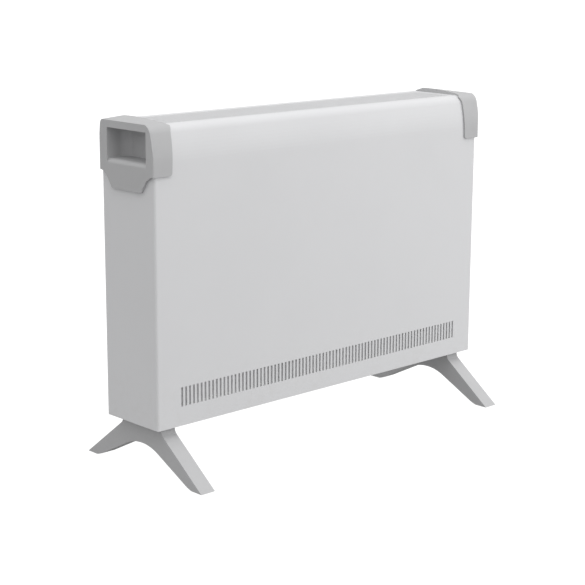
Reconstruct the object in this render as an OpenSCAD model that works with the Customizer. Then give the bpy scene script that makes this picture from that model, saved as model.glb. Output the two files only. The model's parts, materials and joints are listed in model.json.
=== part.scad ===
// Free-standing fan convector heater on two splayed feet.
// Millimetres, +Z up, front towards -Y, origin on the floor under the middle of the case.

/* [Case] */
// Width of the steel case
body_w = 592; // [560:4:640]
// Depth of the steel case, front to back
body_d = 102; // [102:1:110]
// Height of the steel case
body_h = 379.5; // [375:0.5:400]
// Thickness of the case sheet
sheet = 1; // [0.8:0.1:1.2]
// Radius of the rolled edge between front and top
roll_r = 13; // [12:0.5:20]
// How far the front leans back before it rolls over
front_lean = 4.5; // [3:0.5:6]
// Radius of the upright front corners
corner_r = 3; // [2:0.5:5]

/* [Air slots] */
// Number of slots in the front row and in the top grille
slot_count = 82; // [60:1:82]
// Distance from slot to slot
slot_pitch = 6.34; // [6:0.02:6.4]
// Width of a slot
slot_w = 3.2; // [2:0.1:3.6]
// Height of the front slots
slot_h = 25; // [15:1:30]
// Height of the front slots above the bottom edge of the case
slot_rise = 25; // [20:1:30]
// Length of the slots in the top grille
grille_slot = 68; // [40:1:72]
// Width of the slots in the top grille
grille_slot_w = 2.3; // [1.5:0.1:3]

/* [Feet] */
// Height of the case above the floor
foot_h = 69.5; // [69:0.5:80]
// Width of a foot along the case
foot_w = 22; // [18:1:26]
// Distance from a foot to the end of the case
foot_inset = 14; // [12:1:18]
// Distance from the middle to the toe of a foot
foot_reach = 118; // [100:0.5:125]
// Length of the sole under each leg
sole_len = 23.5; // [18:0.5:26]
// Half the depth of the neck under the case
neck_half = 39.5; // [36:0.5:44]
// Height of the top of the arch between the legs
arch_top = 40; // [34:1:42]
// Radius of the arch between the legs
arch_r = 70; // [60:1:80]

/* [End caps] */
// How far a cap stands proud of the front and the back
cap_over = 2.6; // [2:0.1:3]
// How far a cap stands proud of the end
cap_end = 3.6; // [2.6:0.1:4]
// Height of the part of a cap that wraps the case
cap_drop = 61; // [58:1:70]
// Width of the wrap on the front at its lower edge
wrap_low = 25.5; // [24:0.5:32]
// Width of the wrap at the top of the front
wrap_high = 28; // [26:0.5:36]
// Width of the wrap on the top
wrap_rear = 21; // [18:0.5:26]
// Width of the hand recess
recess_w = 77; // [70:1:78]
// Height of the hand recess
recess_h = 38; // [32:1:38]
// Depth of the hand recess
recess_depth = 28; // [20:1:30]
// Radius of the lip that the fingers pull on
lip_r = 6; // [3:0.5:7]
// Height of the tab below a cap
tab_drop = 21; // [15:1:25]

/* [Controls] */
// Diameter of the thermostat knob
knob_d = 42; // [36:1:46]
// Depth of the well that holds the controls
well_depth = 16; // [16:1:18]
// Angle from the middle to either position of a rocker
rocker_tilt = 11; // [8:1:11]

/* [Fan] */
// Diameter of the impeller
impeller_d = 80; // [70:1:80]
// Number of blades
blade_count = 7; // [5:1:9]
// Pitch of the blades
blade_pitch = 34; // [25:1:36]

/* [Hidden] */
$fn = 64;

white = [0.90, 0.90, 0.91];
pale_grey = [0.72, 0.72, 0.74];
dark_grey = [0.25, 0.25, 0.27];
black = [0.08, 0.08, 0.09];
steel = [0.66, 0.67, 0.69];
brass = [0.80, 0.66, 0.32];
mica_tan = [0.78, 0.70, 0.56];
far = 20;

half_w = body_w / 2;
half_d = body_d / 2;
z_low = foot_h;
z_top = foot_h + body_h;
roll_y = -half_d + front_lean + roll_r;
roll_z = z_top - roll_r;
lean_r = 150;
lean_z = roll_z - arc_rise(lean_r, roll_r, front_lean);
slot_z = z_low + slot_rise;
row_w = (slot_count - 1) * slot_pitch;
inner_w = half_w - sheet;
inner_d = half_d - sheet;
fit = 0.1;
floor_z = z_low + sheet;

// Fasteners
screw_d = 3.5;
screw_hole = 3.7;
screw_head_d = 7;
screw_head_h = 2;
screw_len = 8;
flange = 12;

// ---------- Shapes used by several pieces ----------

module block(x0, x1, y0, y1, z0, z1)
  translate([x0, y0, z0])
    cube([x1 - x0, y1 - y0, z1 - z0]);

// A flat outline drawn in Y and Z, carried along X
module along_x(x0, x1)
  translate([x0, 0, 0])
    rotate([90, 0, 90])
      linear_extrude(x1 - x0)
        children();

// A flat outline drawn in X and Z, carried along Y
module along_y(y0, y1)
  translate([0, y1, 0])
    rotate([90, 0, 0])
      linear_extrude(y1 - y0)
        children();

// A flat outline drawn in X and Y, carried up Z
module along_z(z0, z1)
  translate([0, 0, z0])
    linear_extrude(z1 - z0)
      children();

module rod_x(x0, x1, d)
  translate([x0, 0, 0])
    rotate([0, 90, 0])
      cylinder(d = d, h = x1 - x0);

module rod_y(y0, y1, d)
  translate([0, y1, 0])
    rotate([90, 0, 0])
      cylinder(d = d, h = y1 - y0);

module rod_z(z0, z1, d)
  translate([0, 0, z0])
    cylinder(d = d, h = z1 - z0);

// Rectangle with its four corners rounded
module round_rect(x0, x1, y0, y1, r) {
  translate([x0 + r, y0])
    square([x1 - x0 - 2 * r, y1 - y0]);
  translate([x0, y0 + r])
    square([x1 - x0, y1 - y0 - 2 * r]);
  for (x = [x0 + r, x1 - r], y = [y0 + r, y1 - r])
    translate([x, y])
      circle(r = r);
}

module mirrored_pair() {
  children();
  mirror([1, 0, 0])
    children();
}

// A pan-head screw that points along +Y from its seat at y
module screw_from_back(x, y, z, len)
  translate([x, 0, z]) {
    rod_y(y, y + screw_head_h, screw_head_d);
    rod_y(y - len, y, screw_d);
  }

// A pan-head screw driven upwards, its head under z
module screw_from_below(x, y, z, len, head_h)
  translate([x, y, 0]) {
    rod_z(z - head_h, z, screw_head_d);
    rod_z(z, z + len, screw_d);
  }

// ---------- Case ----------

// Height of a large arc that leads from an upright edge into a roll
function arc_rise(r, roll, lean) = sqrt(2 * (r - roll) * lean - lean * lean);

// Points of that arc, as the distance in from the edge and the height above its start
function leaning_arc(r, roll, lean, inset) =
  let (turn = asin(arc_rise(r, roll, lean) / (r - roll)))
  [for (i = [0 : 8]) [r - (r - inset) * cos(turn * i / 8), (r - inset) * sin(turn * i / 8)]];

// Side view of the case: square at the back, rolled at the top of the front
module case_side(inset, back, low) {
  polygon(concat(
    [[back, low], [-half_d + inset, low]],
    [for (p = leaning_arc(lean_r, roll_r, front_lean, inset)) [-half_d + p[0], lean_z + p[1]]],
    [[roll_y, roll_z], [roll_y, z_top - inset], [back, z_top - inset]]
  ));
  translate([roll_y, roll_z])
    circle(r = roll_r - inset, $fn = 96);
}

module case_plan(inset, back) {
  r = corner_r - inset;
  edge = half_w - inset;
  front = -half_d + inset;
  translate([-edge, front + r])
    square([2 * edge, back - front - r]);
  translate([-edge + r, front])
    square([2 * edge - 2 * r, 2 * r]);
  for (x = [-edge + r, edge - r])
    translate([x, front + r])
      circle(r = r);
}

// Front view of the case: the top corners are trimmed under the caps
module case_front(inset, low) {
  edge = half_w - inset;
  top = z_top - inset;
  polygon([
    [-edge, low], [edge, low], [edge, top - top_trim], [edge - top_trim, top],
    [-edge + top_trim, top], [-edge, top - top_trim]
  ]);
}

// The rear corners of the top are cut away under the caps
module rear_notch()
  mirrored_pair()
    block(half_w - wrap_rear + 1, half_w + far, half_d - notch_d, half_d + far,
          z_top - notch_h, z_top + far);

module case_solid(inset, back, low)
  intersection() {
    along_x(-half_w + inset, half_w - inset)
      case_side(inset, back, low);
    along_z(low, z_top - inset)
      case_plan(inset, back);
    along_y(-half_d, back)
      case_front(inset, low);
  }

module slot_row(width, y0, y1, z0, z1)
  for (i = [0 : slot_count - 1])
    block(i * slot_pitch - row_w / 2 - width / 2, i * slot_pitch - row_w / 2 + width / 2,
          y0, y1, z0, z1);

// Places of the low-headed screws in the bottom
base_screw_places = [for (x = [-1, 1], y = [-1, 1]) [x * (half_w - 9), y * 30]];
base_head_h = 1.2;

// Places of the screws in the back, as X and Z
back_screw_places = [
  [-200, z_top - 7], [0, z_top - 7], [200, z_top - 7],
  [-200, z_low + 7], [0, z_low + 7], [200, z_low + 7],
  [-half_w + 7, z_low + 90], [half_w - 7, z_low + 90],
  [-half_w + 7, z_low + 240], [half_w - 7, z_low + 240]
];
cap_screw_x = half_w - 16;
cap_screw_z = z_top - 50;

lip_len = 6.5;
seam_x = half_w - corner_r;
top_trim = 8;
notch_d = 7;
notch_h = 22;

// Case skin before its openings: open below, at the back and along the top
module case_skin()
  difference() {
    case_solid(0, half_d, z_low);
    case_solid(sheet, half_d + far, z_low - far);
    block(-inner_w, inner_w, roll_y, half_d + far, roll_z, z_top + far);
    mirrored_pair()
      block(half_w - top_trim - 2 * sheet, half_w + far, recess_y - recess_w / 2 - pocket_wall - fit * 3,
            half_d + far, z_top - top_trim - 2 * sheet, z_top + far);
    rear_notch();
  }

// Sheet with the front, the roll, a lip under the grille and a flange under the case
module front_panel()
  color(white)
    difference() {
      union() {
        intersection() {
          case_skin();
          block(-seam_x, seam_x, -half_d - far, half_d + far, z_low - far, z_top + far);
        }
        block(-inner_w + top_trim, inner_w - top_trim, roll_y - 2.5, roll_y + lip_len,
              z_top - 2 * sheet, z_top - sheet);
        block(-inner_w + flange, inner_w - flange, -inner_d, -inner_d + flange - 2,
              floor_z, floor_z + sheet);
      }
      slot_row(slot_w, -half_d - far, -inner_d + fit, slot_z, slot_z + slot_h);
    }

// Right end before its own openings, with a flange behind, one below and the rounded
// corner. It stops below the hand recess, apart from a strip at the back for the cap screw.
module end_panel()
  difference() {
    union() {
      intersection() {
        case_skin();
        block(seam_x, half_w + far, -half_d - far, half_d + far, z_low - far, z_top + far);
      }
      block(inner_w - flange, inner_w, inner_d - sheet, inner_d, floor_z + sheet, z_top - notch_h - fit);
      block(inner_w - flange + 2, inner_w, -inner_d + corner_r, inner_d - 2 * sheet,
            floor_z, floor_z + sheet);
    }
    block(seam_x - fit, half_w + far, -half_d - far,
          recess_w / 2 + recess_y + pocket_wall + fit * 3,
          recess_z - pocket_wall - fit * 3, z_top + far);
    for (p = base_screw_places)
      if (p[0] > 0)
        translate([p[0], p[1], 0])
          rod_z(floor_z - fit, floor_z + far / 2, screw_hole);
    for (p = back_screw_places)
      if (p[0] > inner_w - flange)
        translate([p[0], 0, p[1]])
          rod_y(inner_d - far / 2, inner_d + fit, screw_hole);
    translate([cap_screw_x, 0, cap_screw_z])
      rod_y(inner_d - far / 2, inner_d + fit, screw_hole);
  }

module left_end_panel()
  color(white)
    mirror([1, 0, 0])
      end_panel();

module right_end_panel()
  color(white)
    difference() {
      end_panel();
      block(inner_w - fit, half_w + far, -well_half_y - well_wall - fit, well_half_y + well_wall + fit,
            well_z0 - well_wall - fit, well_z1 + well_wall + fit);
      translate([0, gland_y, gland_z])
        rod_x(inner_w - fit, half_w + far, gland_d + 2 * fit);
    }

module top_grille()
  color(white)
    difference() {
      union() {
        block(-inner_w + top_trim, inner_w - top_trim, roll_y + fit, half_d - fit, z_top - sheet, z_top);
        block(-inner_w + flange + 3, inner_w - flange - 3, inner_d - sheet, inner_d,
              z_top - flange, z_top - sheet + fit);
      }
      rear_notch();
      slot_row(grille_slot_w, roll_y + 3, roll_y + 3 + grille_slot, z_top - sheet - fit, z_top + far);
      for (p = back_screw_places)
        if (p[1] > z_top - flange)
          translate([p[0], 0, p[1]])
            rod_y(inner_d - far / 2, half_d + far, screw_hole);
    }

back_slot_rows = [z_low + 25, z_low + 62, z_low + 99];
back_slot_count = 41;
back_slot_pitch = 8;
back_slot_x = -25;

module back_panel()
  color(white)
    difference() {
      intersection() {
        block(-inner_w + fit, inner_w - fit, inner_d, half_d, z_low, z_top - sheet);
        along_y(inner_d - far, half_d + far)
          case_front(fit, z_low);
      }
      rear_notch();
      for (z = back_slot_rows, i = [0 : back_slot_count - 1]) {
        x = back_slot_x + (i - (back_slot_count - 1) / 2) * back_slot_pitch;
        block(x - slot_w / 2, x + slot_w / 2, inner_d - fit, half_d + far, z, z + slot_h);
      }
      for (p = back_screw_places)
        translate([p[0], 0, p[1]])
          rod_y(inner_d - fit, half_d + far, screw_hole);
      mirrored_pair()
        translate([cap_screw_x, 0, cap_screw_z])
          rod_y(inner_d - fit, half_d + far, screw_hole);
    }

foot_mid = half_w - foot_inset - foot_w / 2;
foot_screw_y = 24;
foot_screw_d = 4;
foot_hole_d = 4.4;
base_slot_pitch = 8;
base_slot_w = 3.6;
intake_r = 40;
side_slot_len = 50;

module base_plate()
  color(white)
    difference() {
      union() {
        block(-inner_w + fit, inner_w - fit, -inner_d + fit, inner_d, z_low, floor_z);
        block(-inner_w + flange + 2, inner_w - flange - 2, inner_d - sheet, inner_d,
              floor_z - fit, z_low + flange + 2);
      }
      for (i = [-4 : 4]) {
        x = fan_x + i * base_slot_pitch;
        reach = sqrt(intake_r * intake_r - pow(i * base_slot_pitch, 2));
        block(x - base_slot_w / 2, x + base_slot_w / 2, -reach, reach, z_low - far, floor_z + fit);
      }
      for (side = [-1, 1], i = [0 : 9]) {
        x = fan_x + side * (72 + i * base_slot_pitch);
        block(x - base_slot_w / 2, x + base_slot_w / 2, -side_slot_len / 2, side_slot_len / 2,
              z_low - far, floor_z + fit);
      }
      for (p = base_screw_places)
        translate([p[0], p[1], 0])
          rod_z(z_low - far, floor_z + fit, screw_hole);
      for (x = [-foot_mid, foot_mid], y = [-foot_screw_y, foot_screw_y])
        translate([x, y, 0])
          rod_z(z_low - far, floor_z + fit, foot_hole_d);
      for (a = post_angles)
        translate([fan_x + post_r * cos(a), post_r * sin(a), 0])
          rod_z(z_low - far, floor_z + fit, screw_hole);
      for (p = back_screw_places)
        if (p[1] < z_low + flange)
          translate([p[0], 0, p[1]])
            rod_y(inner_d - far / 2, half_d + far, screw_hole);
      translate([earth_x, earth_y, 0])
        rod_z(z_low - far, floor_z + fit, screw_hole);
    }

mesh_t = 0.8;
mesh_border = 4;
mesh_cell = 12;
mesh_bar = 1;
mesh_margin = 5;

module intake_mesh()
  color(steel)
    along_y(-inner_d, -inner_d + mesh_t)
      difference() {
        width = row_w + 2 * mesh_margin + slot_w;
        low = slot_z - mesh_margin;
        height = slot_h + 2 * mesh_margin;
        cols = floor((width - 2 * mesh_border) / mesh_cell);
        cell_w = (width - 2 * mesh_border + mesh_bar) / cols;
        cell_h = (height - 2 * mesh_border + mesh_bar) / 3;
        translate([-width / 2, low])
          square([width, height]);
        for (i = [0 : cols - 1], j = [0 : 2])
          translate([-width / 2 + mesh_border + i * cell_w, low + mesh_border + j * cell_h])
            square([cell_w - mesh_bar, cell_h - mesh_bar]);
      }

module base_screws()
  color(steel)
    for (p = base_screw_places)
      screw_from_below(p[0], p[1], z_low, screw_len, base_head_h);

module back_panel_screws()
  color(steel)
    for (p = back_screw_places)
      screw_from_back(p[0], half_d, p[1], screw_len);

module cap_screws()
  color(steel)
    mirrored_pair()
      screw_from_back(cap_screw_x, half_d + cap_over, cap_screw_z, screw_len + cap_over);

// ---------- End caps ----------

cap_x = half_w + cap_end;
cap_z = z_top - cap_drop;
cap_corner = 2.2;
crown_peak = z_top + 5.8;
crown_y = 20;
crown_r = 400;
crown_edge = z_top + 1.6;
rear_round = 7;
rear_lean = 3;
rear_lean_r = 300;
recess_y = -1.5;
recess_z = z_top - 45.5;
recess_corner = 13;
pocket_wall = 2.2;
foot_of_wrap_r = 3;
tab_half = 31;
tab_root = 41;
tab_corner = 4;
tab_sweep = 9;

// Side view of a cap: the front of the case grown by a wall, a low crown, a leaning back
module cap_side() {
  rear = half_d + cap_over;
  rear_y = rear - rear_lean - rear_round;
  rear_z = z_top - 4.7;
  start_z = rear_z - arc_rise(rear_lean_r, rear_round, rear_lean);
  intersection() {
    union() {
      case_side(-cap_over, 0, cap_z);
      translate([roll_y, cap_z])
        square([-roll_y, crown_peak + 1 - cap_z]);
      polygon(concat(
        [[-1, cap_z], [rear, cap_z]],
        [for (p = leaning_arc(rear_lean_r, rear_round, rear_lean, 0)) [rear - p[0], start_z + p[1]]],
        [
          [rear_y, rear_z], [rear_y + rear_round * cos(72), rear_z + rear_round * sin(72)],
          [rear_y - 2 * rear_round, crown_peak + 1], [-1, crown_peak + 1]
        ]
      ));
      translate([rear_y, rear_z])
        circle(r = rear_round, $fn = 96);
    }
    translate([crown_y, crown_peak - crown_r])
      circle(r = crown_r, $fn = 200);
  }
}

// Front view of a cap: the wrap widens upwards and the top falls towards the end
module cap_front() {
  inner_low = half_w - wrap_low;
  inner_high = half_w - wrap_high;
  polygon([
    [inner_low + foot_of_wrap_r, cap_z], [cap_x, cap_z], [cap_x, crown_edge],
    [half_w - wrap_rear, crown_peak], [inner_high - 6, crown_peak + 1],
    [inner_high, z_top - 8], [inner_low - 0.3, cap_z + foot_of_wrap_r]
  ]);
  translate([inner_low + foot_of_wrap_r, cap_z + foot_of_wrap_r])
    circle(r = foot_of_wrap_r);
}

// Plan of a cap: rounded outer corners, an inner edge that runs back outwards
module cap_plan() {
  front = -half_d - cap_over;
  rear = half_d + cap_over;
  inner_high = half_w - wrap_high;
  polygon([
    [inner_high - 4, front], [cap_x - cap_corner, front], [cap_x - cap_corner, rear],
    [half_w - wrap_rear, rear], [half_w - wrap_rear, half_d - 8],
    [inner_high + 3, roll_y + 1], [inner_high, roll_y - 8], [inner_high - 4, roll_y - 10]
  ]);
  translate([cap_x - 2 * cap_corner, front + cap_corner])
    square([2 * cap_corner, rear - front - 2 * cap_corner]);
  for (y = [front + cap_corner, rear - cap_corner])
    translate([cap_x - cap_corner, y])
      circle(r = cap_corner);
}

// Tab under a cap: a short shield whose shoulders sweep out into the lower edge
module cap_tab() {
  low = cap_z - tab_drop;
  difference() {
    polygon([
      [-tab_half + tab_corner, low], [tab_half - tab_corner, low],
      [tab_half + 0.5, low + tab_corner], [tab_root - 1, cap_z - tab_sweep + 4],
      [tab_root + tab_sweep, cap_z], [tab_root + tab_sweep, cap_z + 1],
      [-tab_root - tab_sweep, cap_z + 1], [-tab_root - tab_sweep, cap_z],
      [-tab_root + 1, cap_z - tab_sweep + 4], [-tab_half - 0.5, low + tab_corner]
    ]);
    for (side = [-1, 1])
      translate([side * (tab_root + tab_sweep + 1), cap_z - tab_sweep - 1.2])
        circle(r = tab_sweep + 1.2);
  }
  for (side = [-1, 1])
    translate([side * (tab_half - tab_corner), low + tab_corner])
      circle(r = tab_corner);
}

// Plan of the hand recess, grown by a wall
module recess_plan(grow) {
  deep = half_w - recess_depth - grow;
  half = recess_w / 2 + grow;
  r = recess_corner + grow;
  translate([deep + r, recess_y - half])
    square([cap_x + far - deep - r, 2 * half]);
  translate([deep, recess_y - half + r])
    square([2 * r, 2 * half - 2 * r]);
  for (side = [-1, 1])
    translate([deep + r, recess_y + side * (half - r)])
      circle(r = r);
}

module end_cap()
  difference() {
    union() {
      difference() {
        intersection() {
          along_x(half_w - wrap_high - far, cap_x)
            cap_side();
          along_y(-half_d - cap_over, half_d + cap_over)
            cap_front();
          along_z(cap_z, crown_peak + far)
            cap_plan();
        }
        difference() {
          intersection() {
            along_x(0, half_w)
              case_side(0, half_d, z_low);
            along_y(-half_d, half_d)
              case_front(0, z_low);
          }
          rear_notch();
        }
      }
      intersection() {
        along_z(recess_z - pocket_wall, recess_z + recess_h + pocket_wall)
          recess_plan(pocket_wall);
        block(0, half_w + fit, -half_d, half_d, z_low, z_top);
      }
      along_x(half_w, cap_x)
        cap_tab();
    }
    along_z(recess_z, recess_z + recess_h)
      recess_plan(0);
    difference() {
      block(cap_x - lip_r, cap_x + far, recess_y - recess_w / 2, recess_y + recess_w / 2,
            recess_z - lip_r, recess_z + fit);
      translate([cap_x - lip_r, 0, recess_z - lip_r])
        rod_y(-half_d, half_d, 2 * lip_r);
    }
    translate([cap_screw_x, 0, cap_screw_z])
      rod_y(half_d - fit, half_d + far, screw_hole);
  }

module right_end_cap()
  color(pale_grey)
    end_cap();

module left_end_cap()
  color(pale_grey)
    mirror([1, 0, 0])
      end_cap();

// ---------- Feet ----------

pad_proud = 0.8;
pad_t = 2;
pad_w = 16;
pad_l = 15;
pad_y = foot_reach - sole_len / 2 - 0.5;
neck_r = 9;
arch_slope = 0.52;
heel = foot_reach - sole_len;
toe_slope = 1.305;
counterbore_d = 9;
counterbore_top = foot_h - 12;

// Half of a foot from the side: a neck, a straight splayed leg and half the arch
module foot_half() {
  leg_top = (foot_reach - neck_half) / toe_slope;
  arch_y = arch_r * sin(atan(arch_slope));
  arch_z = arch_top - arch_r + arch_r * cos(atan(arch_slope));
  heel_z = pad_proud + 3;
  difference() {
    polygon([
      [0, foot_h], [neck_half, foot_h], [neck_half, leg_top],
      [foot_reach - pad_proud * toe_slope, pad_proud], [heel + 3, pad_proud],
      [heel - 1.5, heel_z - 1.8], [heel - heel_z / arch_slope + 1, heel_z], [arch_y, arch_z], [0, arch_z]
    ]);
    translate([0, arch_top - arch_r])
      circle(r = arch_r, $fn = 120);
  }
  neck_fillet(leg_top);
}

// Hollow curve between the upright neck and the sloping leg
module neck_fillet(leg_top) {
  slope = atan2(1, toe_slope);
  turn = (90 - slope) / 2;
  run = neck_r * tan(turn);
  difference() {
    polygon([
      [neck_half - 1, leg_top - 1], [neck_half - 1, leg_top + run], [neck_half, leg_top + run],
      [neck_half + run * cos(slope), leg_top - run * sin(slope)],
      [neck_half + run * cos(slope) - 1, leg_top - run * sin(slope) - 1]
    ]);
    translate([neck_half + neck_r, leg_top + run])
      circle(r = neck_r);
  }
}

module foot(x)
  translate([x, 0, 0])
    difference() {
      along_x(-foot_w / 2, foot_w / 2) {
        foot_half();
        mirror([1, 0])
          foot_half();
      }
      for (y = [-foot_screw_y, foot_screw_y])
        translate([0, y, 0]) {
          rod_z(0, counterbore_top, counterbore_d);
          rod_z(0, foot_h + fit, foot_hole_d);
        }
      for (y = [-pad_y, pad_y])
        block(-pad_w / 2, pad_w / 2, y - pad_l / 2, y + pad_l / 2, 0, pad_t);
    }

module left_foot()
  color(pale_grey)
    foot(-foot_mid);

module right_foot()
  color(pale_grey)
    foot(foot_mid);

module foot_pads()
  color(dark_grey)
    for (x = [-foot_mid, foot_mid], y = [-pad_y, pad_y])
      block(x - pad_w / 2, x + pad_w / 2, y - pad_l / 2, y + pad_l / 2, 0, pad_t);

foot_nut_h = 3.2;

module foot_screws()
  color(steel)
    for (x = [-foot_mid, foot_mid], y = [-foot_screw_y, foot_screw_y])
      translate([x, y, 0]) {
        rod_z(counterbore_top - 2.6, counterbore_top, 8);
        rod_z(counterbore_top, floor_z + foot_nut_h + 2, foot_screw_d);
      }

module foot_nuts()
  color(steel)
    for (x = [-foot_mid, foot_mid], y = [-foot_screw_y, foot_screw_y])
      translate([x, y, floor_z])
        difference() {
          cylinder(d = 7 / cos(30), h = foot_nut_h, $fn = 6);
          translate([0, 0, -fit])
            cylinder(d = foot_screw_d + 0.1, h = foot_nut_h + 2 * fit);
        }

// ---------- Heating chamber ----------

fan_x = -25;
chamber_half = 233;
chamber_left = fan_x - chamber_half;
chamber_right = fan_x + chamber_half;
bulkhead_t = 1;
bulkhead_front = -38;
bulkhead_back = 48;
bulkhead_top = z_top - 9;
bulkhead_foot = 8;
shield_low = z_low + 78;
shield_top = z_top - 22;
shield_t = 0.8;
rear_shield_y = 40;
grommet_z = z_low + 90;
grommet_d = 14;
grommet_bore = 10;
grommet_groove = 12;

module bulkhead(x, out)
  difference() {
    union() {
      block(x, x + bulkhead_t, bulkhead_front, bulkhead_back, floor_z, bulkhead_top);
      block(min(x, x + out * bulkhead_foot), max(x, x + out * bulkhead_foot) + bulkhead_t,
            bulkhead_front + 4, bulkhead_back - 4, floor_z, floor_z + bulkhead_t);
    }
    for (z = [z_low + 250, z_low + 300])
      translate([0, 0, z])
        rod_x(x - far, x + far, 16);
  }

module left_bulkhead()
  color(steel)
    bulkhead(chamber_left - bulkhead_t, -1);

module right_bulkhead()
  color(steel)
    difference() {
      bulkhead(chamber_right, 1);
      translate([0, 0, grommet_z])
        rod_x(chamber_right - far, chamber_right + far, grommet_groove);
    }

module bulkhead_grommet()
  color(black)
    translate([0, 0, grommet_z])
      difference() {
        union() {
          rod_x(chamber_right - 2, chamber_right, grommet_d);
          rod_x(chamber_right, chamber_right + bulkhead_t, grommet_groove);
          rod_x(chamber_right + bulkhead_t, chamber_right + bulkhead_t + 2, grommet_d);
        }
        rod_x(chamber_right - far, chamber_right + far, grommet_bore);
      }

module front_heat_shield()
  color(steel)
    difference() {
      union() {
        block(chamber_left - bulkhead_t, chamber_right + bulkhead_t, bulkhead_front - shield_t,
              bulkhead_front, shield_low, shield_top);
        block(chamber_left - bulkhead_t, chamber_right + bulkhead_t, bulkhead_front - 8,
              bulkhead_front, shield_low, shield_low + shield_t);
      }
      for (i = [-3 : 3])
        block(fan_x + i * 60 - 20, fan_x + i * 60 + 20, bulkhead_front - far, bulkhead_front + fit,
              shield_top - 40, shield_top - 36);
    }

module rear_heat_shield()
  color(steel)
    difference() {
      block(chamber_left, chamber_right, rear_shield_y, rear_shield_y + shield_t,
            shield_low, shield_top);
      for (i = [-3 : 3])
        block(fan_x + i * 60 - 20, fan_x + i * 60 + 20, rear_shield_y - fit, rear_shield_y + far,
              shield_top - 40, shield_top - 36);
    }

// Two mica boards stand on edge, each with a zigzag of flat resistance wire on both faces
mica_y = 14;
mica_t = 1.6;
mica_low = z_low + 130;
mica_h = 36;
mica_half = 221;
wire_t = 0.8;
wire_over = 3;
turn_count = 66;
turn_pitch = 6;
clip_len = 17;
clip_t = 1.9;

module mica_board(y)
  difference() {
    block(fan_x - mica_half, fan_x + mica_half, y - mica_t / 2, y + mica_t / 2,
          mica_low, mica_low + mica_h);
    for (i = [-2 : 2])
      translate([fan_x + i * 80, 0, mica_low + mica_h / 2])
        rod_y(y - far, y + far, 5);
  }

// Flat wire that runs up and down the face of a board, joined at alternate ends
module zigzag_wire(y0) {
  height = mica_h + 2 * wire_over;
  start = fan_x - turn_count * turn_pitch / 2;
  along_y(y0, y0 + wire_t) {
    for (i = [0 : turn_count])
      translate([start + i * turn_pitch, mica_low - wire_over])
        square([wire_t, height]);
    for (i = [0 : turn_count - 1])
      translate([start + i * turn_pitch, mica_low - wire_over + (i % 2 == 0 ? 0 : height - wire_t)])
        square([turn_pitch + wire_t, wire_t]);
  }
}

module stitched_wire(y) {
  zigzag_wire(y - mica_t / 2 - wire_t);
  zigzag_wire(y + mica_t / 2);
}

module low_heat_mica()
  color(mica_tan)
    mica_board(-mica_y);

module high_heat_mica()
  color(mica_tan)
    mica_board(mica_y);

module low_heat_wire()
  color(steel)
    stitched_wire(-mica_y);

module high_heat_wire()
  color(steel)
    stitched_wire(mica_y);

// Bracket on a bulkhead with a pair of cheeks around each mica board
module element_bracket() {
  block(-chamber_half, -chamber_half + 1, -22, 22, mica_low - 8, mica_low + mica_h + 8);
  for (y = [-mica_y, mica_y], side = [-1, 1])
    translate([0, y + side * (mica_t / 2 + clip_t / 2 + 0.05), 0])
      block(-chamber_half + 1, -chamber_half + 1 + clip_len, -clip_t / 2, clip_t / 2,
            mica_low - 4, mica_low + mica_h + 4);
}

module element_brackets()
  color(steel)
    translate([fan_x, 0, 0])
      mirrored_pair()
        element_bracket();

cutout_z = mica_low + mica_h + 46;

module thermal_cutout()
  color(black) {
    block(chamber_right - 1.2, chamber_right, -14, 14, cutout_z - 10, cutout_z + 10);
    translate([0, 0, cutout_z])
      rod_x(chamber_right - 10, chamber_right - 1.2, 17);
    for (y = [-4.5, 4.5])
      block(chamber_right - 17, chamber_right - 10, y - 0.4, y + 0.4, cutout_z - 3.2, cutout_z + 3.2);
  }

// ---------- Fan ----------

duct_gap = 2;
duct_bore = impeller_d + 2 * duct_gap;
duct_d = duct_bore + 6;
duct_low = floor_z + 10;
duct_top = floor_z + 42;
post_r = duct_d / 2 - 1.5;
post_angles = [45, 135, 225, 315];
arm_t = 4;
arm_half = 8;
shaft_d = 5;
bush_d = 9;
bush_bore = 5.08;
hub_d = 22;
hub_low = duct_low + 5;
hub_top = duct_top - 8;
blade_t = 1.6;
blade_chord = 26;
core_low = duct_top + 8;
core_top = core_low + 16;
core_half = 20;
rotor_d = 20.4;
core_bore = 21.4;
motor_screw_x = 14;
strip_low = core_top + 6;
strip_t = 2;
limb_u0 = 38;
limb_u1 = 46;

module fan_housing()
  color(black)
    translate([fan_x, 0, 0])
      difference() {
        union() {
          difference() {
            union() {
              rod_z(duct_low, duct_top, duct_d);
              for (a = post_angles)
                translate([post_r * cos(a), post_r * sin(a), 0])
                  rod_z(floor_z, duct_top, 8);
            }
            rod_z(duct_low - far, duct_top + fit, duct_bore);
          }
          block(-duct_bore / 2 - 1, duct_bore / 2 + 1, -arm_half, arm_half, duct_top - arm_t, duct_top);
          rod_z(duct_top - 6, duct_top, 18);
        }
        rod_z(duct_top - far, duct_top + fit, bush_d + 0.04);
        for (x = [-motor_screw_x, motor_screw_x])
          translate([x, 0, 0])
            rod_z(duct_top - far, duct_top + fit, 3.2);
        for (a = post_angles)
          translate([post_r * cos(a), post_r * sin(a), 0])
            rod_z(floor_z - fit, floor_z + 14, screw_hole);
      }

module fan_screws()
  color(steel)
    for (a = post_angles)
      screw_from_below(fan_x + post_r * cos(a), post_r * sin(a), z_low, 12, screw_head_h);

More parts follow.
